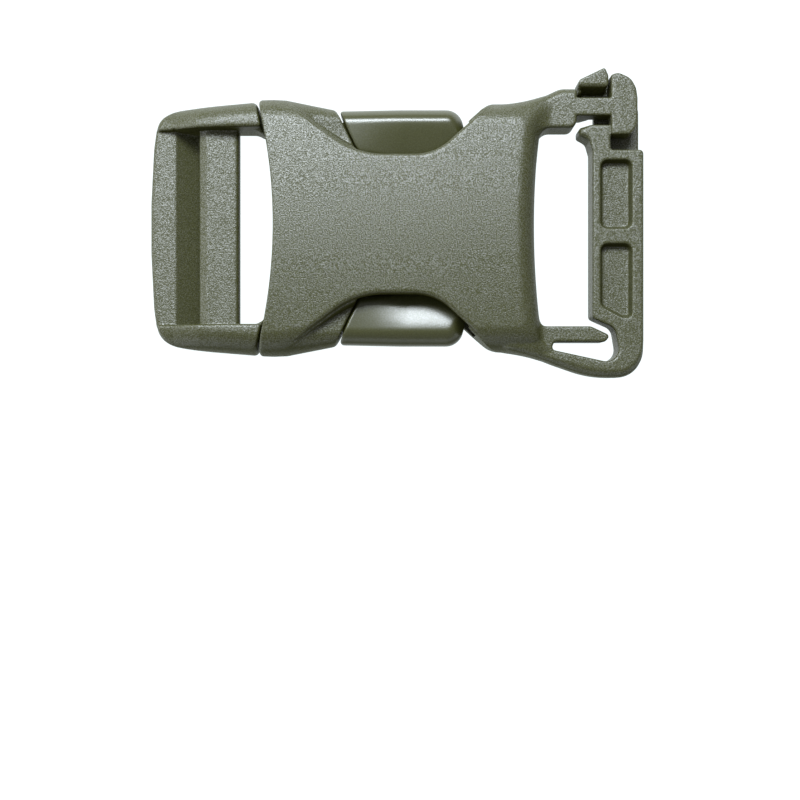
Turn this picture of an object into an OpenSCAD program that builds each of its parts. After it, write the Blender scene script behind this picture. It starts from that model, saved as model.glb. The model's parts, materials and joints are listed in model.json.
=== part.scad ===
// Side release buckle for 38 mm webbing, closed, lying on its flat back.
// X runs along the webbing, Y across it and Z up from the back face.
// The origin is the middle of the waist, on the flat back of the shell.

/* [Webbing] */
// Clear length of both webbing slots, across the webbing
slot_w = 38.6; // [32:0.1:47]
// Clear space between the ramp and the centre bar
webbing_space = 2.3; // [1.5:0.1:3.5]
// Length of the strap slot along the webbing, between shell and split bar
strap_slot_l = 11.6; // [8:0.1:16]

/* [Shell] */
// Width of the side wall beyond each end of the slots
side_w = 6.25; // [5:0.05:8]
// Height of the shell from back to front
body_h = 13.2; // [11:0.1:16]
// Radius of the gentle crown across the front panel
crown_r = 200; // [150:10:400]
// Height of the widest line of the sides
widest_z = 5.0; // [4:0.1:6.5]
// Waist middle to the middle of the mouth edge
mouth_l = 24.65; // [20.5:0.05:30]
// Waist middle to the far end of the shell
nose_l = 26.4; // [22:0.1:32]
// Radius of the hollow mouth edge
mouth_r = 94; // [70:1:140]
// Radius of the hollow far edge
nose_r = 150; // [110:1:220]
// Thickness of the front and back panels
shell_wall = 2.1; // [1.5:0.1:2.6]
// Thickness of the side walls
side_wall = 2.5; // [2:0.1:3]
// Width across the front panel at the waist
waist_w = 28.0; // [23:0.1:34]
// Length of the middle stretch of the waist edge, between its slopes
waist_flat_l = 14.8; // [11:0.1:18]
// Height of the wings beside the release pads
wing_h = 9.5; // [7.9:0.1:11.4]
// Amount by which each wing narrows the outline at its end
wing_taper = 2.05; // [1.5:0.05:3]

/* [Plug] */
// Length of the webbing frame outside the shell
frame_l = 21.2; // [17.6:0.05:26]
// Step from the front of the shell down to the front of the rails
rail_step = 2.8; // [2.2:0.1:4]
// Height of the rails at the outer end
rail_end_h = 6.0; // [5:0.1:7.2]
// Width of the flat of the end bar
end_bar_w = 4.8; // [4:0.1:6]
// Height of the end bar
end_bar_h = 5.2; // [4.3:0.1:6.3]
// Width of the centre bar
centre_bar_w = 7.9; // [6:0.1:9.5]
// Thickness of the centre bar
centre_bar_t = 3.4; // [2.5:0.1:4.1]
// Width of the cross piece in the mouth
cross_w = 4.2; // [3.2:0.1:5.5]
// Width of the guide tongue
tongue_w = 8.0; // [6:0.1:10]
// Width of each spring arm, across its bend
spring_w = 3.1; // [2.2:0.1:3.8]
// Setback of the release pads from the widest line of the shell
pad_setback = 1.95; // [1.2:0.05:3]
// Drop of each pad's crest below the inside of the front panel
pad_drop = 1.2; // [0.9:0.1:1.6]
// Drop of each pad face from its crest to its inner edge
pad_fall = 1.6; // [1:0.1:2.2]
// Width of each pad, from its widest line inwards
pad_w = 11.0; // [9:0.1:13.2]

/* [Bar and arms] */
// Width of the split bar along the webbing
bar_w = 10.0; // [8.3:0.1:13]
// Height of the lower faces of the bar above the back
bar_z0 = 2.5; // [1.5:0.1:3.5]
// Thickness of the split bar
bar_t = 6.4; // [5:0.1:8]
// Depth of the pockets in the bar
pocket_d = 1.9; // [1.5:0.1:2.3]
// Width of the rib between the pockets
pocket_rib = 2.6; // [1.5:0.1:4]
// Thickness of the upper arm and the head
arm_t = 7.1; // [5.8:0.1:8.6]
// Width of the upper arm at its end
arm_w = 8.05; // [6.6:0.05:9.7]
// Width of the neck
neck_w = 3.6; // [2.8:0.1:4.6]
// Thickness of the low plate under the neck
plate_t = 2.0; // [1.5:0.1:2.4]
// Width of the outer arm
outer_arm_w = 4.1; // [3.2:0.1:5.2]
// Width of the guard finger
finger_w = 3.1; // [2.4:0.1:3.8]

/* [Clearances] */
// Clearance between the plug and the inside of the shell
fit_gap = 0.3; // [0.2:0.05:0.5]
// Clearance at the latch faces
latch_gap = 0.45; // [0.3:0.05:0.8]
// Clearance between the end of the rails and the corners of the shell
joint_gap = 0.5; // [0.3:0.05:1]
// Clearance between the low plate and the neck over it
plate_gap = 0.3; // [0.2:0.05:0.5]

/* [Hidden] */

olive = [0.42, 0.43, 0.36];
olive_dark = [0.37, 0.38, 0.31];
// Points on each rounded corner, and how far a cut runs past the surface it cuts
steps = 7;
over = 5;

// Depth to which one form runs into the next, where both are one moulding
lap = 1;

slot_half = slot_w / 2;
body_half = slot_half + side_w;
waist_half = waist_w / 2;

// Roundings of the shell's sides and of its far end
front_round = 5.3;
back_round = 4.0;
nose_round_l = 6.3;
nose_round_h = 6.8;
nose_back_round = 3.0;

// Heights inside the shell
inner_z0 = shell_wall + fit_gap;
inner_z1 = body_h - shell_wall - fit_gap;
wing_skin = 1.8;
wing_inner_z1 = wing_h - wing_skin;

// Waist edge, with its two slopes in degrees
waist_mid_x = -0.9;
waist_x0 = waist_mid_x - waist_flat_l / 2;
waist_x1 = waist_mid_x + waist_flat_l / 2;
waist_slope_l = 36.5;
waist_slope_r = 42.3;
waist_round = 9.5;
waist_round_l = 16;
shoulder_half = body_half - 0.8;
shoulder_x = waist_x1 + (shoulder_half - waist_half) / tan(waist_slope_r);
shoulder_round = 4.5;

// Wings: where their outline begins to narrow, and the slanted line of the latch
taper_x = -mouth_l + 1.4;
latch_x = waist_x0 + 0.1;
latch_slant = 0.49;
wing_end_half = body_half - wing_taper;

// Far end of the shell's corners, beyond its hollow edge
nose_x1 = nose_l + 0.9;

// Hollow of the shell, and the roots of the arms in its end wall
end_wall = 5.1;
cavity_x1 = nose_l - end_wall;
root_x = cavity_x1 + 0.1;
cavity_end_half = 16.0 - fit_gap;
pad_way_x1 = waist_x1 + 8.3;
guide_t = 1.2;
guide_h = 2.6;
guide_x0 = -mouth_l + 7;

// Frame of the plug
rail_x1 = mouth_x(0, body_half) - joint_gap;
rail_x0 = rail_x1 - frame_l;
rail_end_x = mouth_x(joint_gap, 0);
rail_half = body_half - 0.4;
rail_h = body_h - rail_step;
rail_z0 = 0.9;
rail_lap = 2;
frame_corner_in = 2.1;
frame_corner_set = 1.35;
frame_corner_r = 4.2;
end_bar_x1 = rail_x0 + end_bar_w;
ramp_l = 5.2;
ramp_z = rail_z0 + 0.4;
centre_bar_x0 = end_bar_x1 + ramp_l - 0.2;
centre_bar_x1 = centre_bar_x0 + centre_bar_w;
centre_bar_z0 = ramp_z + webbing_space;
bar_round = 0.6;

// Parts of the plug inside the shell
cross_set = 0.25;
cross_round = 3.2;
cross_x1 = -mouth_l - cross_set + cross_w;
tongue_x1 = nose_l - 9.6;
tongue_z0 = inner_z0 + 1.0;
tongue_z1 = inner_z1 - 1.0;
spring_z1 = wing_inner_z1 - fit_gap;
spring_out = wing_end_half - side_wall - fit_gap;
spring_in = spring_out - spring_w;
pad_half = body_half - pad_setback;
pad_inner = pad_half - pad_w;
pad_crest_in = 3.4;
pad_side_h = 3.0;
pad_x1 = waist_x1 + 5.0;
pad_tip_x = waist_x1 + 8.5;

// Roots of the arms and the finger beside the strap slot, and the slot's corners
edge_lap = 0.6;
root_w = 4;
slot_round = 2.6;

// Split bar
bar_x0 = nose_l + strap_slot_l;
bar_x1 = bar_x0 + bar_w;
bar_z1 = bar_z0 + bar_t;
bar_y1 = slot_half - 4.2;
pocket_side = 1.65;
pocket_x0 = bar_x0 + pocket_side;
pocket_x1 = bar_x1 - pocket_side - 0.65;
pocket_y1 = bar_y1 - pocket_side;
pocket_y0 = -slot_half + 1.1;
pocket_mid = (pocket_y0 + pocket_y1) / 2 + 0.6;
pocket_round = 1.0;
pocket_slant = 2.3;

// Upper arm, neck, head, lip, low plate and tooth
arm_z0 = bar_z0 - 0.2;
arm_z1 = arm_z0 + arm_t;
arm_x1 = bar_x0 - 3.2;
arm_half = slot_half + arm_w;
arm_roll_w = 1.75;
arm_roll_h = 3.4;
neck_y = slot_half + arm_w / 2 + 0.15;
neck_root_x1 = bar_x0 - 0.25;
plate_x0 = bar_x0 + 0.8;
plate_z1 = bar_z0 + plate_t;
head_z0 = plate_z1 + plate_gap;
head_x0 = bar_x0 + 3.5;
head_x1 = bar_x1 - 1.25;
head_y0 = neck_y - 5.55;
head_y1 = neck_y + 6.7;
lip_x0 = bar_x0 - 2.7;
lip_y1 = slot_half + 0.7;
tooth_gap = 0.3;
tooth_x0 = arm_x1 + tooth_gap;
tooth_x1 = head_x0 - 0.3;
tooth_y0 = neck_y + neck_w / 2 + 1.95;
tooth_y1 = tooth_y0 + 4.0;

// Guard finger and loop of the outer arm
finger_y1 = -slot_half - 0.4;
finger_y0 = finger_y1 - finger_w;
finger_x1 = bar_x0 + 3.2;
loop_x0 = nose_l + 3.8;
loop_x1 = bar_x0 + 5.6;
loop_y0 = finger_y0 - 4.5;
outer_y = loop_y0 - outer_arm_w + 1.4;

// X of a hollow edge set back by set, at distance y from the middle line
function mouth_x(set, y) = -mouth_l - set - mouth_r + sqrt(mouth_r * mouth_r - y * y);

// X of the latch line at distance y from the middle line
function latch_line_x(y) = latch_x - latch_slant * (y - waist_half);

// Half width of the outline where the wings narrow, beyond taper_x
function wing_edge_y(x) =
    body_half - wing_taper * (x - taper_x) / (latch_line_x(wing_end_half) - taper_x);

function unit(v) = v / norm(v);

// One corner of an outline, rounded by radius r as far as its two edges allow
function corner_points(a, b, c, r) =
    let (
        u = unit(a - b),
        v = unit(c - b),
        half = acos(max(-1, min(1, u * v))) / 2,
        reach = 0.48 * min(norm(a - b), norm(c - b)),
        radius = min(r, reach * tan(half))
    )
    (radius < 0.01 || half > 89.5) ? [b] :
    let (
        centre = b + unit(u + v) * radius / sin(half),
        start = b + u * radius / tan(half) - centre,
        turn = (u.x * v.y - u.y * v.x > 0 ? -1 : 1) * (180 - 2 * half)
    )
    [for (i = [0 : steps])
        let (t = turn * i / steps)
        centre + [start.x * cos(t) - start.y * sin(t), start.x * sin(t) + start.y * cos(t)]];

// An outline given as rows of [x, y, corner radius]
function rounded(rows) =
    let (n = len(rows))
    [for (i = [0 : n - 1])
        let (
            a = rows[(i + n - 1) % n],
            b = rows[i],
            c = rows[(i + 1) % n]
        )
        each corner_points([a.x, a.y], [b.x, b.y], [c.x, c.y], b.z)];

// Rows of the upper half of an outline, followed by the same rows mirrored
function mirrored(rows) =
    concat(rows, [for (i = [len(rows) - 1 : -1 : 0]) [rows[i].x, -rows[i].y, rows[i].z]]);

// A quarter of an ellipse about c, from angle a0 to a1
function quarter(c, rx, ry, a0, a1) =
    [for (i = [0 : steps])
        let (t = a0 + (a1 - a0) * i / steps)
        [c.x + rx * cos(t), c.y + ry * sin(t)]];

// Section across the body, inset from its skin by in_y at the sides and in_z at front and back
function side_section(half, top, in_y, in_z) =
    let (
        back = quarter([half - back_round, widest_z], back_round - in_y, widest_z - in_z, -90, 0),
        front = quarter([half - front_round, widest_z], front_round - in_y, top - widest_z - in_z, 0, 90),
        right = concat(back, front)
    )
    concat(right, [for (i = [len(right) - 1 : -1 : 0]) [-right[i].x, right[i].y]]);

// Extrudes an outline given in Y and Z along X, from x0 to x1
module along_x(x0, x1) {
    translate([x0, 0, 0])
        rotate([90, 0, 90])
            linear_extrude(x1 - x0) children();
}

// Extrudes an outline given in X and Z along Y, to the half width half on both sides
module along_y(half) {
    translate([0, half, 0])
        rotate([90, 0, 0])
            linear_extrude(2 * half) children();
}

// Extrudes an outline given in X and Y along Z, from z0 to z1
module slab(z0, z1) {
    translate([0, 0, z0]) linear_extrude(z1 - z0) children();
}

module both_sides() {
    children();
    mirror([0, 1, 0]) children();
}

// Everything beyond the waist edge on the upper side, and beyond the shoulder
module waist_notch() {
    run = 2 * body_half;
    polygon(rounded([
        [waist_x0 - run * cos(waist_slope_l), waist_half + run * sin(waist_slope_l), 0],
        [waist_x0, waist_half, waist_round_l],
        [waist_x1, waist_half, waist_round],
        [shoulder_x, shoulder_half, shoulder_round],
        [nose_l + over, shoulder_half, 0],
        [nose_l + over, waist_half + run, 0]
    ]));
}

// The waist notch, moved inwards so that its left slope is set back by set
module inside_waist(set) {
    translate([0, -set / cos(waist_slope_l)]) waist_notch();
}

// The far side of the latch line, on the upper side
module beyond_latch() {
    far = 2 * body_half;
    polygon([
        [latch_line_x(0), 0],
        [latch_line_x(far), far],
        [nose_l + over, far],
        [nose_l + over, 0]
    ]);
}

// Outline of the shell seen from the front, before its waist is cut
module shell_plan() {
    difference() {
        polygon(rounded(mirrored([
            [-mouth_l - over, body_half, 0],
            [taper_x, body_half, 12],
            [latch_line_x(wing_end_half), wing_end_half, 0],
            [waist_x1, shoulder_half, 0],
            [nose_x1, shoulder_half, 0]
        ])));
        translate([-mouth_l - mouth_r, 0]) circle(r = mouth_r, $fn = 180);
        translate([nose_l + nose_r, 0]) circle(r = nose_r, $fn = 180);
    }
}

// Plan of the shell's hollow, between its side walls
module hollow_plan() {
    polygon(rounded(mirrored([
        [-mouth_l - over, body_half - side_wall, 0],
        [taper_x, body_half - side_wall, 0],
        [latch_line_x(wing_end_half), wing_end_half - side_wall, 0],
        [pad_way_x1, wing_end_half - side_wall + 0.8, 0],
        [cavity_x1 - 1, cavity_end_half, 0],
        [cavity_x1, cavity_end_half - 1, 0]
    ])));
}

// Plan of the part of the hollow that reaches up to the front panel
module tall_hollow_plan() {
    difference() {
        hollow_plan();
        both_sides() difference() {
            inside_waist(side_wall);
            beyond_latch();
            translate([0, -body_half]) square([nose_l, 3 * body_half]);
        }
    }
}

// Solid block of the shell with its rounded sides and far end
module shell_block() {
    intersection() {
        slab(0, body_h) shell_plan();
        union() {
            along_x(-mouth_l - over, waist_mid_x) polygon(side_section(body_half, body_h, 0, 0));
            along_x(waist_mid_x - lap, nose_x1) polygon(side_section(shoulder_half, body_h, 0, 0));
        }
        along_y(body_half) polygon(concat(
            [[-mouth_l - over, body_h], [-mouth_l - over, 0]],
            quarter([nose_x1 - nose_back_round, nose_back_round], nose_back_round, nose_back_round, -90, 0),
            quarter([nose_x1 - nose_round_l, body_h - nose_round_h], nose_round_l, nose_round_h, 0, 90)
        ));
        translate([-mouth_l - over, 0, body_h - crown_r]) rotate([0, 90, 0])
            cylinder(r = crown_r, h = nose_x1 + mouth_l + 2 * over, $fn = 360);
    }
}

module shell_hollow() {
    intersection() {
        union() {
            slab(shell_wall, wing_inner_z1) hollow_plan();
            slab(shell_wall, body_h - shell_wall) tall_hollow_plan();
        }
        along_x(-mouth_l - over, nose_l)
            polygon(side_section(body_half, body_h, side_wall, shell_wall));
    }
}

// Waist cuts: the wings are lowered, and the sides open where the pads stand
module waist_cuts() {
    both_sides() {
        slab(wing_h, body_h + over) waist_notch();
        slab(-over, body_h + over) intersection() {
            waist_notch();
            beyond_latch();
        }
    }
}

// Ribs on the back panel that guide the tongue
module tongue_guides() {
    both_sides()
        translate([guide_x0, tongue_w / 2 + fit_gap, shell_wall - lap])
            cube([cavity_x1 + lap - guide_x0, guide_t, guide_h + lap]);
}

// Outer arm, loop, split bar and guard finger are one hooked outline
module hook_plan() {
    polygon(rounded([
        [root_x, -shoulder_half, 0],
        [nose_l - 1.1, -shoulder_half - 0.3, 6],
        [bar_x0 + 0.2, outer_y, 30],
        [bar_x1, outer_y + 0.3, 6.2],
        [bar_x1, bar_y1, 0.8],
        [head_x0 + 0.4, bar_y1, 0.5],
        [head_x0 + 0.1, lip_y1, 0.3],
        [bar_x0 - 0.9, lip_y1, 1.2],
        [lip_x0, lip_y1 - 0.6, 0.5],
        [lip_x0, lip_y1 - 2.0, 0.5],
        [bar_x0 - 0.7, lip_y1 - 3.0, 1.2],
        [bar_x0, bar_y1 - 0.3, 1.5],
        [bar_x0, -slot_half + 1.2, 0.9],
        [loop_x1 - 1.2, -slot_half - 0.8, 2.2],
        [loop_x1, loop_y0, 3.4],
        [loop_x0 - 0.4, finger_y0 - 1.5, 0.7],
        [loop_x0 + 0.2, finger_y0, 0.7],
        [finger_x1 - 0.8, finger_y0, 0.6],
        [finger_x1, finger_y0 + 0.9, 0.5],
        [finger_x1 - 0.2, finger_y1 - 1.6, 0.4],
        [finger_x1 - 3.6, finger_y1, 1.5],
        [nose_l + edge_lap, finger_y1, slot_round],
        [nose_l + edge_lap, finger_y1 + root_w, 0],
        [root_x, finger_y1 + root_w, 0]
    ]));
}

// Plans of the two blind pockets in the front of the bar
module pocket_plans() {
    polygon(rounded([
        [pocket_x0, pocket_mid + pocket_rib / 2, pocket_round],
        [pocket_x1, pocket_mid + pocket_rib / 2, pocket_round],
        [pocket_x1, pocket_y1, pocket_round],
        [pocket_x0, pocket_y1, pocket_round]
    ]));
    polygon(rounded([
        [pocket_x0, pocket_y0 + pocket_slant, pocket_round],
        [pocket_x1 - 1.6, pocket_y0, pocket_round],
        [pocket_x1, pocket_y0, pocket_round],
        [pocket_x1, pocket_mid - pocket_rib / 2, pocket_round],
        [pocket_x0, pocket_mid - pocket_rib / 2, pocket_round]
    ]));
}

module split_bar() {
    difference() {
        slab(bar_z0, bar_z1) hook_plan();
        slab(bar_z1 - pocket_d, bar_z1 + over) pocket_plans();
    }
}

// Low plate that passes under the neck, with the tooth that catches beyond it
module plate_and_tooth() {
    slab(bar_z0, plate_z1) polygon(rounded([
        [plate_x0, bar_y1 - 2 * lap, 0],
        [bar_x1, bar_y1 - 2 * lap, 0],
        [bar_x1, neck_y, 2],
        [head_x1 - 0.15, tooth_y0 + 2.2, 2],
        [plate_x0, tooth_y0 + 2.2, 0]
    ]));
    slab(bar_z0, bar_z1 + 0.2) polygon(rounded([
        [tooth_x0, tooth_y0, 0.3],
        [tooth_x0 + 0.1, tooth_y0 + 1.2, 0.8],
        [tooth_x0 + 1.3, tooth_y0 + 2.4, 1],
        [tooth_x1 - 0.9, tooth_y1 + 0.1, 0.5],
        [tooth_x1, tooth_y1 - 1.6, 0.4],
        [tooth_x1, tooth_y0, 0.3]
    ]));
}

module arm_plan() {
    polygon(rounded([
        [root_x, slot_half - root_w, 0],
        [nose_l + edge_lap, slot_half - root_w, 0],
        [nose_l + edge_lap, slot_half, slot_round],
        [arm_x1, slot_half, 1.2],
        [arm_x1, arm_half, 0.5],
        [nose_l + 4.6, arm_half, 6],
        [nose_l - 1.6, shoulder_half, 5],
        [root_x, shoulder_half, 0]
    ]));
}

// Section of the upper arm, rolled over on its outer side
module arm_section() {
    polygon(concat(
        [[0, arm_z1], [0, arm_z0], [arm_half, arm_z0]],
        quarter([arm_half - arm_roll_w, arm_z1 - arm_roll_h], arm_roll_w, arm_roll_h, 0, 90)
    ));
}

module upper_arm() {
    intersection() {
        slab(arm_z0, arm_z1) arm_plan();
        along_x(root_x, arm_x1) arm_section();
    }
    slab(arm_z0, arm_z1)
        translate([arm_x1 - lap, neck_y - neck_w / 2]) square([neck_root_x1 - arm_x1 + lap, neck_w]);
    slab(head_z0, arm_z1) {
        translate([arm_x1 - lap, neck_y - neck_w / 2]) square([head_x0 - arm_x1 + 2 * lap, neck_w]);
        polygon(rounded([
            [head_x0, head_y0, 0.4],
            [head_x1 - 1.3, head_y0 + 0.1, 1.2],
            [head_x1, head_y0 + 2.0, 1.5],
            [head_x1, head_y1 - 5, 3],
            [head_x1 - 0.3, head_y1 - 3, 3],
            [head_x1 - 1.35, head_y1 - 1.1, 3],
            [head_x0 + 1.4, head_y1 + 0.05, 2],
            [head_x0, head_y1 - 0.45, 0.3]
        ]));
    }
}

module socket_half() {
    color(olive) {
        difference() {
            shell_block();
            shell_hollow();
            waist_cuts();
        }
        tongue_guides();
        split_bar();
        plate_and_tooth();
        upper_arm();
    }
}

// Outline of the webbing frame seen from the front, whose rails end along the shell's mouth
module frame_plan() {
    intersection() {
        polygon(rounded(mirrored([
            [rail_end_x, rail_half, 0],
            [rail_x1, rail_half, 0],
            [rail_x0 + frame_corner_set, rail_half - frame_corner_in, frame_corner_r],
            [rail_x0, 3, 0]
        ])));
        translate([-mouth_l - joint_gap - mouth_r, 0]) circle(r = mouth_r, $fn = 180);
    }
}

// Window of the frame, up to the hollow edge of the cross piece
module window_plan() {
    polygon(rounded(mirrored(concat(
        [[end_bar_x1, slot_half, 0], [mouth_x(cross_set, slot_half), slot_half, cross_round]],
        [for (y = slot_half * [0.6, 0.4, 0.2, 0.05]) [mouth_x(cross_set, y), y, 0]]
    ))));
}

// Rails and end bar, higher towards the shell
module webbing_frame() {
    intersection() {
        slab(rail_z0, rail_h) frame_plan();
        along_x(rail_x0, rail_end_x) polygon(side_section(rail_half, rail_h, 0, rail_z0));
        along_y(rail_half) polygon(rounded([
            [rail_x0, rail_z0, 0],
            [rail_x0, rail_end_h - 1.4, 1],
            [rail_x0 + 3, rail_end_h + 0.6, 3],
            [(rail_x0 + rail_x1) / 2, rail_h - 1, 30],
            [rail_x1, rail_h, 0],
            [rail_end_x, rail_h, 0],
            [rail_end_x, rail_z0, 0]
        ]));
    }
}

// Ramp of the end bar and the centre bar above it
module webbing_bars() {
    along_y(slot_half + lap / 2) {
        polygon([
            [end_bar_x1 - lap, rail_z0],
            [end_bar_x1 - lap, end_bar_h],
            [end_bar_x1, end_bar_h],
            [end_bar_x1 + ramp_l, ramp_z],
            [end_bar_x1 + ramp_l, rail_z0]
        ]);
        polygon(rounded([
            [centre_bar_x0, centre_bar_z0, bar_round],
            [centre_bar_x1, centre_bar_z0, bar_round],
            [centre_bar_x1, centre_bar_z0 + centre_bar_t, bar_round],
            [centre_bar_x0 + 1.5, centre_bar_z0 + centre_bar_t, bar_round],
            [centre_bar_x0, centre_bar_z0 + centre_bar_t - 0.8, bar_round]
        ]));
    }
}

// Plan of the cross piece between the wings
module cross_plan() {
    inset = side_wall + fit_gap;
    polygon(rounded(mirrored([
        [rail_x1 - rail_lap, body_half, 0],
        [taper_x, wing_edge_y(taper_x) - inset, 0],
        [cross_x1, wing_edge_y(cross_x1) - inset, 0]
    ])));
}

// Cross piece with its shoulders, which enter the mouth. Above the wings its ends stay
// inside the slopes of the waist.
module cross_piece() {
    intersection() {
        union() {
            slab(0, spring_z1) cross_plan();
            slab(0, body_h) difference() {
                cross_plan();
                both_sides() inside_waist(side_wall + fit_gap);
            }
        }
        along_x(rail_x1 - rail_lap, cross_x1)
            polygon(side_section(body_half, body_h, side_wall + fit_gap, inner_z0));
    }
}

module guide_tongue() {
    slab(tongue_z0, tongue_z1) polygon(rounded(mirrored([
        [cross_x1 - lap, tongue_w / 2, 0],
        [tongue_x1, tongue_w / 2, tongue_w * 0.3]
    ])));
}

// Plan of a release pad, whose near end follows the latch line
module pad_plan() {
    polygon(rounded([
        [latch_line_x(pad_half) + latch_gap, pad_half, 0.7],
        [pad_x1, pad_half, 2.8],
        [pad_tip_x, pad_inner + 4.2, 2],
        [pad_tip_x - 1.8, pad_inner, 2],
        [latch_line_x(pad_inner) + latch_gap, pad_inner, 1.5]
    ]));
}

// Section of a release pad, whose face falls from its crest to its inner edge
module pad_section() {
    polygon(rounded([
        [pad_inner - lap, inner_z0, 0],
        [pad_half - 2.4, inner_z0, 1],
        [pad_half, widest_z, 1.5],
        [pad_half - 0.5, widest_z + pad_side_h, 2],
        [pad_half - pad_crest_in, inner_z1 - pad_drop, 0.8],
        [pad_inner - lap, inner_z1 - pad_drop - pad_fall, 0]
    ]));
}

module spring_arm_and_pad() {
    translate([cross_x1 - lap, spring_in, inner_z0])
        cube([waist_x0 - cross_x1 + 3 * lap, spring_w, spring_z1 - inner_z0]);
    intersection() {
        slab(0, body_h) pad_plan();
        along_x(latch_x - 2 * over, pad_tip_x + lap) pad_section();
    }
}

module plug_half() {
    color(olive_dark) {
        difference() {
            union() {
                webbing_frame();
                cross_piece();
            }
            slab(-over, body_h + over) window_plan();
            translate([rail_x0 - over, -slot_half, end_bar_h])
                cube([end_bar_x1 - rail_x0 + over, slot_w, body_h]);
        }
        webbing_bars();
        guide_tongue();
        both_sides() spring_arm_and_pad();
    }
}

plug_half();
socket_half();
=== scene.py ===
# Side release buckle for 38 mm webbing: the looks of its two mouldings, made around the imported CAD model.
# Shapes are worked out in millimetres as signed distances, negative inside, and meshed in metres.
import itertools
import json
import math

import bpy
import numpy as np
import openvdb
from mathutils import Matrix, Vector

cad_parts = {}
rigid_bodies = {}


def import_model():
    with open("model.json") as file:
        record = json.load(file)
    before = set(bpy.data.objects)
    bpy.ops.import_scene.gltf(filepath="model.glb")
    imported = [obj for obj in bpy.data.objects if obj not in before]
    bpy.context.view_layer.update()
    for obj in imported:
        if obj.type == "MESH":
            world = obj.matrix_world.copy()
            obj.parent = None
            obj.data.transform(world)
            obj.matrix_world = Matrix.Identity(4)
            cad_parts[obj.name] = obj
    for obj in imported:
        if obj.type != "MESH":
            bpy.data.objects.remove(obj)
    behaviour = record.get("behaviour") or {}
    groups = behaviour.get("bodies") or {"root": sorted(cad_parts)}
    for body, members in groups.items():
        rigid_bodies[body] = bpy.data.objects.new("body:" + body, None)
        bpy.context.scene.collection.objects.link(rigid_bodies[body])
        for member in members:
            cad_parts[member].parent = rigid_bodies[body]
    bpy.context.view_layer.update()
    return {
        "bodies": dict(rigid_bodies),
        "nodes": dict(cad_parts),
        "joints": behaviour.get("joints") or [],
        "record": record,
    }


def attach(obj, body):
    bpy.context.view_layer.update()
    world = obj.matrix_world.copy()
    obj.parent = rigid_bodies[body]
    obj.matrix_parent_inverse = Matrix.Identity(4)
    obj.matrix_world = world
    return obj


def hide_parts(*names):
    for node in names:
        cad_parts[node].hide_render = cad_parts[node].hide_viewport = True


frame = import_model()

MM = 0.001
STEP = 0.16
TRIANGLES = 190000


# Camera, straight above the point that the photograph is centred on
CAMERA_Y = -34.25 * MM
CAMERA_Z = 245 * MM
LENS = 54
SENSOR = 36
CLIP_START = 0.01

camera = bpy.data.objects.new("camera", bpy.data.cameras.new("camera"))
camera.data.lens = LENS
camera.data.sensor_width = SENSOR
camera.data.clip_start = CLIP_START
camera.location = (0, CAMERA_Y, CAMERA_Z)
bpy.context.scene.collection.objects.link(camera)
bpy.context.scene.camera = camera


# Driving sizes in millimetres, as in the CAD model
SLOT_HALF = 19.3
BODY_HALF = 25.55
SHOULDER_HALF = 24.75
BODY_H = 13.2
WIDEST_Z = 4.3
MOUTH_L = 24.65
NOSE_L = 26.4
MOUTH_R = 94.0
NOSE_R = 150.0
WALL = 2.1
FIT_GAP = 0.3
SIDE_WALL = 2.5
WAIST_HALF = 14.0
WAIST_X0 = -8.3
WAIST_X1 = 6.5
WING_H = 9.5
WING_WALL = 1.8
LOW_Z1 = 7.4
RAIL_X0 = -49.85
RAIL_X1 = -28.69
INNER_Z0 = 2.4
INNER_Z1 = 10.8
BAR_X1 = 48.0
BAR_Z0 = 2.5
BAR_Z1 = 8.9
ARM_Z0 = 2.3
ARM_Z1 = 9.4


# Distances. A rounding of 0 leaves a sharp edge.
def both(a, b, radius=0.0):
    """Where both solids are, with a rounded edge between their faces."""
    if not np.any(radius):
        return np.maximum(a, b)
    a = a + radius
    b = b + radius
    corner = np.hypot(np.maximum(a, 0), np.maximum(b, 0))
    return np.minimum(np.maximum(a, b), 0) + corner - radius


def either(a, b, radius=0.0):
    """Where either solid is, with a fillet between their faces."""
    return -both(-a, -b, radius)


def cut(a, b, radius=0.0):
    """The first solid without the second one."""
    return both(a, -b, radius)


def roll(u, v, width, height):
    """Distance to a quarter ellipse that leaves v = height at u = 0 and meets u = width at v = 0."""
    a = np.maximum(u, 0) / width
    b = np.maximum(v, 0) / height
    r = np.hypot(a, b)
    slope = np.hypot(a / width, b / height)
    inner = np.maximum(u - width, v - height)
    return np.where(slope > 1e-4, r * (r - 1) / np.maximum(slope, 1e-4), inner)


def rounded(rows, steps=9):
    """Points of an outline given as rows of (x, y, corner radius)."""
    points = []
    for i, (x, y, radius) in enumerate(rows):
        b = Vector((x, y))
        a = Vector(rows[i - 1][:2]) - b
        c = Vector(rows[(i + 1) % len(rows)][:2]) - b
        half = a.angle(c) / 2
        reach = 0.48 * min(a.length, c.length)
        radius = min(radius, reach * math.tan(half))
        if radius < 0.01 or half > math.radians(89.5):
            points.append((x, y))
            continue
        middle = (a.normalized() + c.normalized()).normalized()
        centre = b + middle * (radius / math.sin(half))
        start = b + a.normalized() * (radius / math.tan(half)) - centre
        turn = math.pi - 2 * half
        if a.x * c.y - a.y * c.x > 0:
            turn = -turn
        for k in range(steps + 1):
            t = turn * k / steps
            points.append((
                centre.x + start.x * math.cos(t) - start.y * math.sin(t),
                centre.y + start.x * math.sin(t) + start.y * math.cos(t),
            ))
    return points


def mirrored(rows):
    """Rows of the upper half of an outline, followed by the same rows mirrored."""
    return rows + [(x, -y, radius) for x, y, radius in reversed(rows)]


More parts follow.
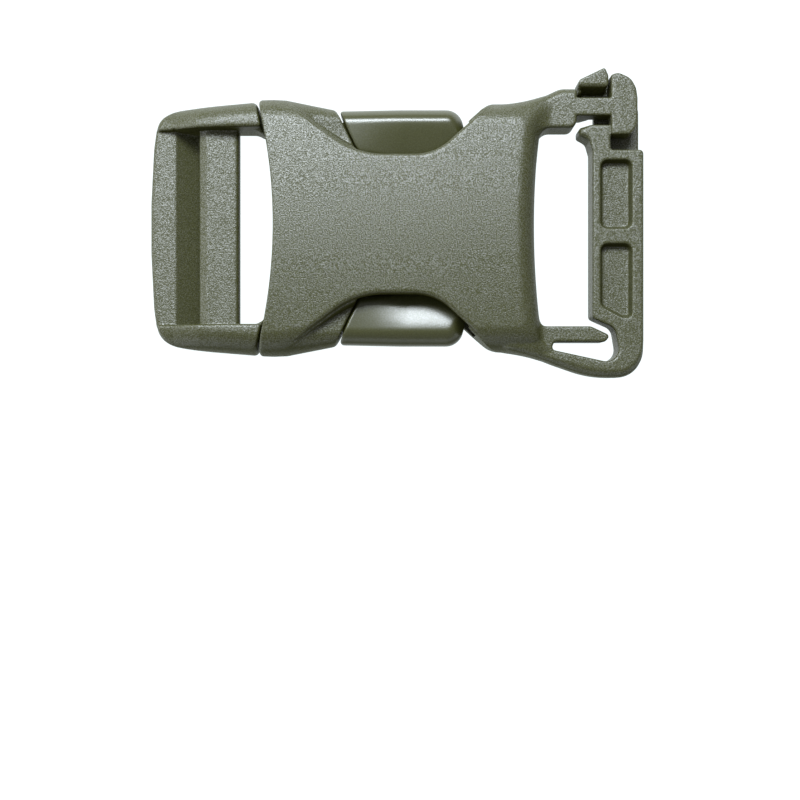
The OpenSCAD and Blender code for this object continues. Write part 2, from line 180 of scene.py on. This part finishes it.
def outline(u, v, rows):
    """Distance to a closed outline in the plane of u and v."""
    points = rounded(rows)
    shape = np.broadcast(u, v).shape
    nearest = np.full(shape, 1e6, np.float32)
    inside = np.zeros(shape, bool)
    for (au, av), (bu, bv) in zip(points, points[1:] + points[:1]):
        eu = bu - au
        ev = bv - av
        t = np.clip(((u - au) * eu + (v - av) * ev) / max(eu * eu + ev * ev, 1e-9), 0, 1)
        nearest = np.minimum(nearest, (u - au - t * eu) ** 2 + (v - av - t * ev) ** 2)
        if av != bv:
            inside ^= ((av > v) != (bv > v)) & (u < au + (v - av) * eu / ev)
    return np.where(inside, -1, 1) * np.sqrt(nearest)


class Block:
    """A box of sample points around one moulding. x, y and z broadcast against each other."""

    def __init__(self, low, high):
        self.low = low
        axes = [np.arange(a, b + STEP, STEP, dtype=np.float32) for a, b in zip(low, high)]
        self.x = axes[0][:, None, None]
        self.y = axes[1][None, :, None]
        self.z = axes[2][None, None, :]
        self.side = np.abs(self.y)

    def plan(self, rows, both_sides=False):
        """Distance to an outline seen from the front, or to it and its mirror image."""
        return outline(self.x, self.side if both_sides else self.y, rows)

    def section(self, rows):
        """Distance to an outline in Y and Z, the same on both sides."""
        return outline(self.side, self.z, rows)

    def profile(self, rows):
        """Distance to an outline in X and Z."""
        return outline(self.x, self.z, rows)

    def between(self, z0, z1):
        return np.maximum(z0 - self.z, self.z - z1)

    def prism(self, rows, z0, z1, radius=0.4, both_sides=False):
        """An outline extruded from z0 to z1, with rounded edges at both ends."""
        return both(self.plan(rows, both_sides), self.between(z0, z1), radius)


def piecewise(x, table):
    """A value along x from a table of (x, value) rows."""
    places, values = zip(*table)
    return np.interp(x, places, values).astype(np.float32)


# Lines that both mouldings follow
def nose_line(y):
    """X of the hollow far edge of the shell."""
    return NOSE_L + NOSE_R - np.sqrt(NOSE_R * NOSE_R - y * y)


LATCH_SLANT = 0.49
LATCH_SET = 0.1


def latch_line(y):
    """X of the slanted line where the wings end and the release pads begin."""
    return WAIST_X0 + LATCH_SET - LATCH_SLANT * (y - WAIST_HALF)


def beyond_latch(block):
    """Distance to the far side of the latch line."""
    return (latch_line(block.side) - block.x) / math.hypot(1, LATCH_SLANT)


FAR = 80.0
WAIST_TURN = math.radians(36.5)
SHOULDER_X = 18.3
WAIST_ROWS = [
    (WAIST_X0 - FAR * math.cos(WAIST_TURN), WAIST_HALF + FAR * math.sin(WAIST_TURN), 0),
    (WAIST_X0, WAIST_HALF, 16),
    (WAIST_X1, WAIST_HALF, 9.5),
    (SHOULDER_X, SHOULDER_HALF, 4.5),
    (FAR, SHOULDER_HALF, 0),
    (FAR, WAIST_HALF + FAR, 0),
]


# Shell of the socket half
HALF_WIDTH = [(-30, 25.45), (-25.2, 25.6), (-22.6, 25.5), (-12.4, 23.5), (-6, 24.75), (40, 24.75)]
FRONT_ROLL = 6.2
BACK_ROLL = 4.0
NOSE_ROLL_L = 5.2
NOSE_ROLL_H = 5.4
NOSE_SOFT = 1.2
CROWN_R = 225.0
EDGE_ROLL_L = 1.15
EDGE_ROLL_H = 1.45
LEDGE = 0.42
# Slant of the wall between panel and wing by X
STEP_SLANT = [(-17, 0), (-11.5, 0.25)]
# Height of the wings and width of their roll by X: they leave the panel's roll and fall to the latch line
WING_TOP = [(-24, 12.6), (-21.5, 11.9), (-17, 9.9), (-11.5, 9.1)]
WING_ROLL = [(-24, 6.2), (-21.5, 5.6), (-17, 3.6), (-12, 3.0)]


def rolled_body(block, top, front_roll, in_y=0.0, in_z=0.0):
    """A body flat at the top and the back and rolled over at its sides, or that body inset.

    The top may be one height or heights by X and Y.
    """
    u = block.side - piecewise(block.x, HALF_WIDTH)
    v = block.z - WIDEST_Z
    front = roll(u + front_roll, v, front_roll - in_y, top - WIDEST_Z - in_z)
    back = roll(u + BACK_ROLL, -v, BACK_ROLL - in_y, WIDEST_Z - in_z)
    return np.where(block.z > WIDEST_Z, front, back)


def rolled_nose(block, top):
    """Far end of the shell, rolled over towards its hollow edge."""
    u = block.x - nose_line(block.y)
    v = block.z - top + NOSE_ROLL_H
    return np.where(v > 0, roll(u + NOSE_ROLL_L, v, NOSE_ROLL_L, NOSE_ROLL_H), u)


def shell(block):
    # Two faces that lie on each other are rounded inwards, so the front starts that much higher
    fall = CROWN_R - np.sqrt(CROWN_R * CROWN_R - block.y * block.y)
    top = BODY_H + (math.sqrt(2) - 1) * NOSE_SOFT - fall
    waist = -block.plan(WAIST_ROWS, both_sides=True)
    # The panel has a rolled edge, and a narrow ledge below it that slants down to the wings
    crown = roll(waist + EDGE_ROLL_L + LEDGE, block.z - top + EDGE_ROLL_H, EDGE_ROLL_L, EDGE_ROLL_H)
    ledge_z = BODY_H - fall - EDGE_ROLL_H
    slant = piecewise(block.x, STEP_SLANT)
    wall = (waist - slant * np.maximum(ledge_z - block.z, 0)) / np.hypot(1, slant)
    edge = np.minimum(crown, np.maximum(wall, block.z - ledge_z))
    panel = np.maximum(rolled_body(block, top, FRONT_ROLL), edge)
    low = rolled_body(block, piecewise(block.x, WING_TOP), piecewise(block.x, WING_ROLL))
    solid = np.minimum(panel, low)
    wings = both(solid, -beyond_latch(block), 0.4)
    solid = np.minimum(wings, np.maximum(solid, waist))
    solid = both(solid, rolled_nose(block, top), NOSE_SOFT)
    mouth = MOUTH_R - np.hypot(block.x + MOUTH_L + MOUTH_R, block.y)
    solid = both(solid, mouth, piecewise(block.side, [(22, 0.35), (25, 0.8)]))
    return np.maximum(solid, block.z - BODY_H + fall)


CAVITY_X1 = 21.3
CAVITY_ROWS = mirrored([
    (-FAR, BODY_HALF - SIDE_WALL, 0),
    (-23.25, BODY_HALF - SIDE_WALL, 3),
    (-12.6, 21.0, 3),
    (14.8, 21.8, 3),
    (CAVITY_X1, 15.7, 1),
])


def cavity(block):
    """Hollow of the shell, lower beside the waist and under the wings."""
    plan = block.plan(CAVITY_ROWS)
    low = np.maximum(plan, block.between(WALL, WING_H - WING_WALL))
    waist = -block.plan(WAIST_ROWS, both_sides=True) + SIDE_WALL
    closed = np.maximum(-waist, -beyond_latch(block))
    tall = np.maximum(cut(plan, closed), block.between(WALL, BODY_H - WALL))
    inner_side = rolled_body(block, BODY_H, FRONT_ROLL, SIDE_WALL, WALL)
    return np.maximum(np.minimum(low, tall), inner_side)


GUIDE_X0 = -17.65
GUIDE_Y0 = 4.3
GUIDE_Y1 = 5.5
GUIDE_Z0 = 1
GUIDE_H = 2.6


def tongue_guides(block):
    rows = [
        (GUIDE_X0, GUIDE_Y0, 0.4),
        (CAVITY_X1 + 1, GUIDE_Y0, 0),
        (CAVITY_X1 + 1, GUIDE_Y1, 0),
        (GUIDE_X0, GUIDE_Y1, 0.4),
    ]
    return block.prism(rows, GUIDE_Z0, WALL + GUIDE_H, 0.3, both_sides=True)


# Arms, split bar and catch of the socket half
OUTER_ROWS = [
    (22, -23.7, 0),
    (30.0, -27.12, 40),
    (38.0, -29.9, 22),
    (BAR_X1, -29.75, 5.4),
    (BAR_X1, 15.1, 0.8),
]
INNER_ROWS = [
    (41.5, 15.1, 0.5),
    (41.5, 20.0, 0.3),
    (37.6, 20.0, 2.5),
    (35.35, 19.4, 0.6),
    (35.3, 18.0, 0.6),
    (37.2, 17.0, 1.2),
    (37.9, 14.8, 1.5),
    (37.9, -18.1, 0.9),
    (42.4, -20.1, 2.2),
    (43.6, -27.3, 3.4),
    (29.8, -24.3, 0.7),
    (30.4, -22.8, 0.7),
    (40.4, -22.8, 0.6),
    (41.2, -21.9, 0.5),
    (41.0, -21.3, 0.4),
    (37.6, -19.7, 1.5),
    (27.0, -19.7, 2.6),
    (26.0, -15.7, 0),
    (22, -15.7, 0),
]
# Roll of the outer arm's outer edge, which gets narrower round its corner: width and height by Y
OUTER_ROLL_W = [(-30, 1.8), (-27, 1.7), (-24.5, 0.8), (-22.5, 0.45)]
OUTER_ROLL_H = [(-30, 2.8), (-27, 2.6), (-24.5, 1.0), (-22.5, 0.45)]
POCKET_ROWS = [
    [(39.52, -0.45, 1.4), (45.73, -0.45, 1.4), (45.73, 13.1, 1.4), (39.52, 13.1, 1.4)],
    [(39.52, -15.7, 1.4), (43.9, -18.0, 1.4), (45.73, -18.0, 1.4), (45.73, -3.4, 1.4), (39.52, -3.4, 1.4)],
]
# Where the lip at the end of the bar starts, and how far its rounder edge takes to begin
LIP_X = 37.9
LIP_Y = 15
LIP_REACH = 1.5
POCKET_DEPTH = 1.9
POCKET_DRAFT = 0.22
PLATE_ROWS = [
    (38.8, 13, 0),
    (47.85, 13, 0),
    (47.85, 23.5, 2),
    (46.6, 29.4, 2),
    (38.8, 29.4, 0),
    (36.0, 27.5, 0),
    (36.0, 24.6, 0),
    (38.8, 24.6, 0),
]
PLATE_Z1 = 4.4
TOOTH_ROWS = [
    (35.15, 26.0, 0.3),
    (35.15, 28.75, 0.9),
    (40.35, 31.25, 0.35),
    (41.05, 29.7, 0.4),
    (41.05, 26.0, 0.3),
]
TOOTH_Z1 = 9.1
TOOTH_FACE_Y = 27.35
TOOTH_DRAFT = 0.12
TOOTH_ROUND = 0.8
# The tooth's foot is an ellipsoid: its centre and half sizes
FOOT_AT = (35.75, 26.9, 4.2)
FOOT_HALF = (0.55, 0.95, 3.4)
ARM_ROWS = [
    (22, 13.0, 0),
    (26.2, 13.0, 0),
    (27.2, 19.3, 2.6),
    (34.75, 19.3, 1.5),
    (34.8, 27.4, 0.5),
    (31.6, 27.45, 4),
    (22, 22.85, 0),
]
ARM_EDGE_ROWS = [(10, 17.1, 0), (31.6, 27.45, 4), (50, 27.4, 0), (50, 10, 0), (10, 10, 0)]
ARM_ROLL_W = 1.75
ARM_ROLL_H = 3.4
NECK_ROWS = [(34, 21.7, 0), (43, 21.7, 0), (43, 25.25, 0), (34, 25.25, 0)]
ROOT_ROWS = [
    (33.5, ARM_Z0, 0),
    (36.2, ARM_Z0, 0.3),
    (37.75, 4.6, 0.3),
    (37.75, ARM_Z1, 0.3),
    (33.5, ARM_Z1, 0),
]
HEAD_ROWS = [
    (41.5, 17.9, 0.4),
    (45.45, 18.0, 1.2),
    (46.75, 19.9, 1.5),
    (46.75, 25.2, 3),
    (46.45, 27.2, 3),
    (45.4, 29.1, 3),
    (42.9, 30.2, 2),
    (41.5, 29.7, 0.3),
]
HEAD_Z0 = 4.9


def pockets(block):
    """Blind pockets in the front of the bar, with drafted walls."""
    floor_z = BAR_Z1 - POCKET_DEPTH
    found = np.minimum(*[block.plan(rows) for rows in POCKET_ROWS])
    return both(found + POCKET_DRAFT * (BAR_Z1 - block.z), floor_z - block.z, 0.25)


def split_bar(block):
    """Outer arm, loop, split bar and guard finger."""
    lip = np.clip((LIP_X - block.x) / LIP_REACH, 0, 1) * np.clip((block.y - LIP_Y) / LIP_REACH, 0, 1)
    hook = both(block.plan(OUTER_ROWS + INNER_ROWS), block.between(BAR_Z0, BAR_Z1), 0.4 + 0.7 * lip)
    outer = block.plan(OUTER_ROWS[:-1] + [(BAR_X1, FAR, 0), (-FAR, FAR, 0), (-FAR, 20.3, 0)])
    width = piecewise(block.y, OUTER_ROLL_W)
    height = piecewise(block.y, OUTER_ROLL_H)
    rolled = roll(outer + width, block.z - BAR_Z1 + height, width, height)
    return cut(np.maximum(hook, rolled), pockets(block), 0.25)


def catch(block):
    """Low plate that passes under the neck, and the tooth beyond it with its small foot."""
    plate = block.prism(PLATE_ROWS, BAR_Z0, PLATE_Z1, 0.3)
    face = TOOTH_FACE_Y - TOOTH_DRAFT * (TOOTH_Z1 - block.z) - block.y
    tooth = both(block.prism(TOOTH_ROWS, BAR_Z0, TOOTH_Z1, 0.35), face, TOOTH_ROUND)
    axes = (block.x, block.y, block.z)
    a, b, c = [((axis - at) / half) ** 2 for axis, at, half in zip(axes, FOOT_AT, FOOT_HALF)]
    foot = (np.sqrt(a + b + c) - 1) * min(FOOT_HALF)
    return np.minimum(np.minimum(plate, tooth), foot)


def upper_arm(block):
    plan = block.plan(ARM_ROWS)
    arm = both(plan, block.between(ARM_Z0, ARM_Z1), 0.45)
    edge = block.plan(ARM_EDGE_ROWS)
    rolled = roll(edge + ARM_ROLL_W, block.z - ARM_Z1 + ARM_ROLL_H, ARM_ROLL_W, ARM_ROLL_H)
    arm = np.maximum(arm, rolled)
    neck_plan = block.plan(NECK_ROWS)
    root = both(neck_plan, block.profile(ROOT_ROWS), 0.35)
    neck = both(neck_plan, block.between(HEAD_Z0, ARM_Z1), 0.35)
    head = block.prism(HEAD_ROWS, HEAD_Z0, ARM_Z1, 0.4)
    return np.minimum(np.minimum(arm, root), np.minimum(neck, head))


# Fillet between the shell and its arms by Y
ARM_FILLET = [(-24, 2.4), (-22.3, 0.7), (-19, 0.9), (17.5, 0.9), (19.5, 2.4)]
SOCKET_BOX = ((-29.5, -31.2, -1.2), (49.4, 32.4, 14.4))


def socket_half():
    block = Block(*SOCKET_BOX)
    arms = np.minimum(np.minimum(split_bar(block), catch(block)), upper_arm(block))
    fillet = piecewise(block.y, ARM_FILLET)
    solid = either(shell(block), arms, fillet)
    solid = cut(solid, cavity(block))
    return block, np.minimum(solid, tongue_guides(block))


# Plug half
CROSS_X1 = -20.7
CROSS_SET = 0.25
RAIL_HALF = [(-50, 23.3), (-38, 24.6), (-28, 25.45)]
RAIL_HEIGHT = [
    (-49.7, 5.5),
    (-48.3, 5.9),
    (-47, 6.3),
    (-45, 6.95),
    (-43, 7.9),
    (-40, 9.1),
    (-36, 9.9),
    (-32, 10.25),
    (-28, 10.4),
]
RAIL_ROLL = 4.6
RAIL_SIDE_Z = 2.8
RAIL_Z0 = 0.9
RAIL_SET = 0.55
FRAME_ROWS = mirrored([
    (-MOUTH_L, 25.35, 0),
    (-28.7, 25.35, 0),
    (-40, 24.45, 20),
    (-48.15, 23.2, 4.6),
    (-49.75, 10, 30),
])
END_BAR_X1 = -44.75
END_BAR_H = 5.2
RAMP_X1 = -39.89
RAMP_Z = 1.3
RAMP_BACK = 1.5
BAR_TUCK = 0.5
CENTRE_BAR_ROWS = [
    (-39.95, 3.6, 0.6),
    (-32.0, 3.6, 0.6),
    (-32.0, 7.0, 0.8),
    (-38.3, 7.0, 0.5),
    (-39.95, 6.2, 0.6),
]
# How far the tall part of the cross piece starts inside the shell's mouth
TALL_SET = 0.2
TONGUE_HALF = 4.0
TONGUE_X1 = 16.8
TONGUE_Z0 = 3.4
TONGUE_Z1 = 9.8
SPRING_Y0 = 17.6
SPRING_Y1 = 20.7
SPRING_X1 = -5.5
PLUG_BOX = ((-51.2, -26.2, -0.2), (18.2, 26.2, 12.4))


def webbing_frame(block):
    """Side rails, rolled over on their outer sides and lower at their outer ends."""
    height = piecewise(block.x, RAIL_HEIGHT) - RAIL_SIDE_Z
    u = block.side - piecewise(block.x, RAIL_HALF) + RAIL_ROLL
    rolled = roll(u, block.z - RAIL_SIDE_Z, RAIL_ROLL, height)
    plan = block.plan(FRAME_ROWS)
    solid = both(plan, rolled, piecewise(block.x, [(-46.5, 0.9), (-43.5, 0)]))
    end = np.hypot(block.x + MOUTH_L + RAIL_SET + MOUTH_R, block.y) - MOUTH_R
    solid = both(solid, end, piecewise(block.side, [(22, 0.4), (25, 0.9)]))
    between_rails = np.maximum(block.side - SLOT_HALF, block.x - END_BAR_X1)
    solid = cut(solid, np.maximum(between_rails, END_BAR_H - 1 - block.z), 0.6)
    return both(solid, RAIL_Z0 - block.z, 0.4)


def window(block):
    """Clear space inside the frame, up to the hollow edge of the cross piece."""
    sides = np.maximum(block.side - SLOT_HALF, END_BAR_X1 - block.x)
    edge = np.hypot(block.x + MOUTH_L + CROSS_SET + MOUTH_R, block.y) - MOUTH_R
    return both(sides, edge, piecewise(block.z, [(7.5, 2.4), (9, 0.4)]))


def end_bar(block):
    rows = mirrored([(END_BAR_X1 + 0.1, 19.9, 0), (-48.75, 19.9, 0), (-49.3, 16.0, 20), (RAIL_X0, 5.0, 20)])
    bar = block.prism(rows, RAIL_Z0, END_BAR_H, 0.8)
    ramp = block.profile([
        (END_BAR_X1 - RAMP_BACK, RAIL_Z0, 0),
        (END_BAR_X1 - RAMP_BACK, END_BAR_H, 0),
        (END_BAR_X1, END_BAR_H, 0.5),
        (RAMP_X1, RAMP_Z, 0.2),
        (RAMP_X1, RAIL_Z0, 0.2),
    ])
    ramp = np.maximum(ramp, block.side - SLOT_HALF - BAR_TUCK)
    return np.minimum(bar, ramp)


def centre_bar(block):
    return np.maximum(block.profile(CENTRE_BAR_ROWS), block.side - SLOT_HALF - BAR_TUCK)


def cross_piece(block):
    """Cross piece with shoulders, lower where the wings are."""
    inset = SIDE_WALL + FIT_GAP
    plan = block.plan(mirrored([
        (RAIL_X1 - 2, 25.5, 0),
        (-23.25, BODY_HALF - inset, 0),
        (CROSS_X1, 22.26, 0.5),
    ]))
    slope = -block.plan(WAIST_ROWS, both_sides=True) + inset
    low = np.maximum(plan, block.between(INNER_Z0, LOW_Z1))
    # Above the wings the cross piece starts under the shell's edge
    inside = MOUTH_R + TALL_SET - np.hypot(block.x + MOUTH_L + MOUTH_R, block.y)
    tall = np.maximum(np.maximum(plan, slope), np.maximum(inside, block.between(INNER_Z0, INNER_Z1)))
    section = rolled_body(block, BODY_H, FRONT_ROLL, inset, INNER_Z0)
    return np.maximum(np.minimum(low, tall), section)


def tongue(block):
    rows = mirrored([(CROSS_X1 - 1, TONGUE_HALF, 0), (TONGUE_X1, TONGUE_HALF, 2.4)])
    return block.prism(rows, TONGUE_Z0, TONGUE_Z1, 0.5)


def spring_arms(block):
    rows = [
        (CROSS_X1 - 1, SPRING_Y0, 0),
        (-14.5, SPRING_Y0, 2),
        (-9.5, PAD_INNER, 1),
        (SPRING_X1, PAD_INNER, 0),
        (SPRING_X1, SPRING_Y1, 0),
        (CROSS_X1 - 1, SPRING_Y1, 0),
    ]
    return block.prism(rows, INNER_Z0, LOW_Z1, 0.4, both_sides=True)


PAD_X0 = -12.5
PAD_INNER = 12.6
PAD_CREST = 20.1
PAD_TOP = 9.4
LATCH_GAP = 0.28
PAD_ROLL_W = 3.5
PAD_ROLL_H = 4.8
PAD_END_ROWS = [
    (12.0, 23.65, 3.6),
    (13.6, 17.2, 2),
    (13.2, PAD_INNER, 2),
]
PAD_ROWS = [(-12.15, 23.4, 0.6), (0, 23.65, 60)] + PAD_END_ROWS + [
    (latch_line(PAD_INNER) + LATCH_GAP, PAD_INNER, 1.0),
    (latch_line(18.4) + LATCH_GAP, 18.4, 8),
]
PAD_ROLL_ROWS = [(-FAR, 22.9, 0), (-12.15, 23.4, 20), (0, 23.65, 60)] + PAD_END_ROWS + [(-FAR, PAD_INNER, 0)]
# Fall of a pad's face towards the shell, as a slope by X
PAD_SLOPE = [(-9, 0.06), (-6, 0.1), (-2.8, 0.17), (-0.4, 0.22), (1.5, 0.26)]


def release_pads(block):
    """Release pads, whose faces fall from their crests towards the shell."""
    slope = piecewise(block.x, PAD_SLOPE)
    face = (block.z - PAD_TOP + slope * (PAD_CREST - block.side)) / np.hypot(1, slope)
    outer = block.plan(PAD_ROLL_ROWS, both_sides=True)
    rolled = roll(outer + PAD_ROLL_W, block.z - PAD_TOP + PAD_ROLL_H, PAD_ROLL_W, PAD_ROLL_H)
    body = both(rolled, face, 0.3)
    body = both(body, INNER_Z0 - block.z, 1.2)
    return both(body, block.plan(PAD_ROWS, both_sides=True), 0.4)


def plug_half():
    block = Block(*PLUG_BOX)
    frame = cut(np.minimum(webbing_frame(block), cross_piece(block)), window(block), 0.6)
    solid = np.minimum(frame, np.minimum(end_bar(block), centre_bar(block)))
    solid = np.minimum(solid, tongue(block))
    arms = either(spring_arms(block), release_pads(block), 0.4)
    return block, np.minimum(solid, arms)


# Meshes
SOFTENING = 0.14


def softened(distance):
    """Every edge a little rounder, by averaging the distances around each point."""
    reach = math.ceil(2.5 * SOFTENING / STEP)
    weights = np.exp(-0.5 * (np.arange(-reach, reach + 1) * STEP / SOFTENING) ** 2)
    weights = (weights / weights.sum()).astype(np.float32)
    for axis in range(3):
        spread = [(reach, reach) if a == axis else (0, 0) for a in range(3)]
        padded = np.pad(distance, spread, mode="edge")
        count = distance.shape[axis]
        distance = sum(
            weight * np.take(padded, range(k, k + count), axis) for k, weight in enumerate(weights)
        )
    return distance


def surface_normals(distance, places):
    """Unit normals at places given in grid steps, from the slope of the distances."""
    base = np.clip(np.floor(places).astype(int), 1, np.array(distance.shape) - 3)
    part = places - base
    normals = np.zeros_like(places)
    for corner in itertools.product((0, 1), repeat=3):
        weight = np.prod(np.where(corner, part, 1 - part), axis=1)
        at = base + corner
        for axis, ahead in enumerate(np.eye(3, dtype=int)):
            rise = distance[tuple((at + ahead).T)] - distance[tuple((at - ahead).T)]
            normals[:, axis] += weight * rise
    return normals / np.maximum(np.linalg.norm(normals, axis=1, keepdims=True), 1e-9)


def moulding(name, block, distance):
    """A smooth mesh of the surface where the distance is zero."""
    distance = softened(np.clip(distance, -2, 2).astype(np.float32))
    grid = openvdb.FloatGrid(1.0)
    grid.copyFromArray(distance)
    points, triangles, quads = grid.convertToPolygons(0.0, 0.0)
    points = (points * STEP + np.array(block.low, np.float32)) * MM
    mesh = bpy.data.meshes.new(name)
    mesh.from_pydata(points.tolist(), [], triangles.tolist() + quads.tolist())
    mesh.validate()
    piece = bpy.data.objects.new(name, mesh)
    bpy.context.scene.collection.objects.link(piece)
    count = sum(len(p.vertices) - 2 for p in mesh.polygons)
    if count > TRIANGLES:
        thin = piece.modifiers.new("thin", "DECIMATE")
        thin.ratio = TRIANGLES / count
        evaluated = piece.evaluated_get(bpy.context.evaluated_depsgraph_get())
        mesh = bpy.data.meshes.new_from_object(evaluated)
        piece.modifiers.clear()
        piece.data = mesh
    mesh.shade_smooth()
    places = np.empty(len(mesh.vertices) * 3, np.float32)
    mesh.vertices.foreach_get("co", places)
    places = (places.reshape(-1, 3) / MM - np.array(block.low, np.float32)) / STEP
    mesh.normals_split_custom_set_from_vertices(surface_normals(distance, places).tolist())
    print(name, "triangles", count, "kept", sum(len(p.vertices) - 2 for p in mesh.polygons))
    return piece


# Materials
OLIVE = (0.056, 0.057, 0.015)
GRAIN_SCALE = 4100
NYLON_IOR = 1.88
# Direction that the studio is brightest from, and the gloss left on walls that face away from it, which
# paints shade on their reflections
BRIGHT_SIDE = (-0.25, 0.45, 0.85)
PAINTED_SHADE_GLOSS = 0.05


def plastic(name, grain, roughness, speckle, gloss_low, gloss_high):
    """Olive nylon with a spark-eroded grain: its height in metres, its gloss and how much they change. Walls
    that face away from the lights get painted shade on their reflections.
    """
    material = bpy.data.materials.new(name)
    material.use_nodes = True
    nodes = material.node_tree.nodes
    links = material.node_tree.links
    shader = nodes["Principled BSDF"]
    shader.inputs["IOR"].default_value = NYLON_IOR
    place = nodes.new("ShaderNodeTexCoord")

    def noise(scale, detail):
        node = nodes.new("ShaderNodeTexNoise")
        node.inputs["Scale"].default_value = scale
        node.inputs["Detail"].default_value = detail
        links.new(place.outputs["Object"], node.inputs["Vector"])
        return node.outputs["Fac"]

    def spread(source, low, high, source_low=0.3, source_high=0.7):
        node = nodes.new("ShaderNodeMapRange")
        node.inputs["From Min"].default_value = source_low
        node.inputs["From Max"].default_value = source_high
        node.inputs["To Min"].default_value = low
        node.inputs["To Max"].default_value = high
        links.new(source, node.inputs["Value"])
        return node.outputs["Result"]

    fine = noise(GRAIN_SCALE, 2.5)
    tone = nodes.new("ShaderNodeMix")
    tone.data_type = "RGBA"
    tone.inputs["A"].default_value = (*[c * (1 - speckle) for c in OLIVE], 1)
    tone.inputs["B"].default_value = (*[c * (1 + speckle) for c in OLIVE], 1)
    links.new(spread(noise(GRAIN_SCALE * 0.8, 1), 0, 1), tone.inputs["Factor"])
    links.new(tone.outputs["Result"], shader.inputs["Base Color"])
    shader.inputs["Roughness"].default_value = roughness
    # Painted shade on the reflections: the specular level falls on walls that face away from the brightest
    # side of the studio, a stand-in for a dark side of the studio
    surface = nodes.new("ShaderNodeNewGeometry")
    facing = nodes.new("ShaderNodeVectorMath")
    facing.operation = "DOT_PRODUCT"
    facing.inputs[1].default_value = BRIGHT_SIDE
    links.new(surface.outputs["Normal"], facing.inputs[0])
    grain_gloss_with_painted_shade = nodes.new("ShaderNodeMath")
    grain_gloss_with_painted_shade.operation = "MULTIPLY"
    links.new(spread(noise(GRAIN_SCALE, 1.5), gloss_low, gloss_high, 0.4, 0.7), grain_gloss_with_painted_shade.inputs[0])
    # painted shade: the grain's gloss is scaled down by how far a wall faces away from the lights
    links.new(spread(facing.outputs["Value"], PAINTED_SHADE_GLOSS, 1, 0, 0.45), grain_gloss_with_painted_shade.inputs[1])
    links.new(grain_gloss_with_painted_shade.outputs["Value"], shader.inputs["Specular IOR Level"])
    bump = nodes.new("ShaderNodeBump")
    bump.inputs["Strength"].default_value = 1
    bump.inputs["Distance"].default_value = grain
    links.new(fine, bump.inputs["Height"])
    links.new(bump.outputs["Normal"], shader.inputs["Normal"])
    return material


# Stage
FLOOR_SIZE = 4
FLOOR_GREY = (0.05, 0.05, 0.05, 1)
FLOOR_GLOW = (1, 1.07, 1.08, 1)
FLOOR_GLOW_STRENGTH = 1.02
WORLD_COLOR = (0.95, 0.98, 1, 1)
WORLD_STRENGTH = 0.22
LIGHT_AIM = (0, 0, 0.01)
# Name, size in metres, watts, colour and place of each light
LIGHTS = [
    ("softbox", (0.58, 0.22), 7.0, (0.92, 1.0, 1.07), (-0.1, 0.389, 0.588)),
    ("fill", (0.6, 0.5), 1.4, (0.95, 1.0, 1.03), (-0.62, 0.08, 0.3)),
]


def area_light(name, size, energy, color, location):
    """A rectangular light aimed at the buckle."""
    light = bpy.data.lights.new(name, "AREA")
    light.shape = "RECTANGLE"
    light.size, light.size_y = size
    light.energy = energy
    light.color = color
    lamp = bpy.data.objects.new(name, light)
    lamp.location = location
    aim = Vector(LIGHT_AIM) - lamp.location
    lamp.rotation_euler = aim.to_track_quat("-Z", "Y").to_euler()
    bpy.context.scene.collection.objects.link(lamp)


def stage_and_lights():
    bpy.ops.mesh.primitive_plane_add(size=FLOOR_SIZE)
    floor = bpy.context.object
    floor.name = "floor"
    paper = bpy.data.materials.new("white_paper")
    paper.use_nodes = True
    shader = paper.node_tree.nodes["Principled BSDF"]
    shader.inputs["Base Color"].default_value = FLOOR_GREY
    shader.inputs["Roughness"].default_value = 0.9
    shader.inputs["Emission Color"].default_value = FLOOR_GLOW
    shader.inputs["Emission Strength"].default_value = FLOOR_GLOW_STRENGTH
    floor.data.materials.append(paper)

    for light in LIGHTS:
        area_light(*light)

    world = bpy.data.worlds.new("studio")
    world.use_nodes = True
    background = world.node_tree.nodes["Background"]
    background.inputs["Color"].default_value = WORLD_COLOR
    background.inputs["Strength"].default_value = WORLD_STRENGTH
    bpy.context.scene.world = world
    bpy.context.scene.view_settings.view_transform = "Standard"


grained = plastic("grained_nylon", grain=0.00008, roughness=0.45, speckle=0.2, gloss_low=0.2, gloss_high=1)
smooth = plastic("smooth_nylon", grain=0.000012, roughness=0.31, speckle=0.1, gloss_low=0.42, gloss_high=0.6)
for node, shape, slot in (
    ("plug_half", plug_half, "plug_plastic"),
    ("socket_half", socket_half, "socket_plastic"),
):
    block, distance = shape()
    piece = moulding(node + "_moulding", block, distance)
    piece.data.materials.append(grained)
    if node == "plug_half":
        # The release pads and their arms are smooth
        piece.data.materials.append(smooth)
        for face in piece.data.polygons:
            face.material_index = int(face.center.x > PAD_X0 * MM)
    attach(piece, "root")
    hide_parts(node)

stage_and_lights()
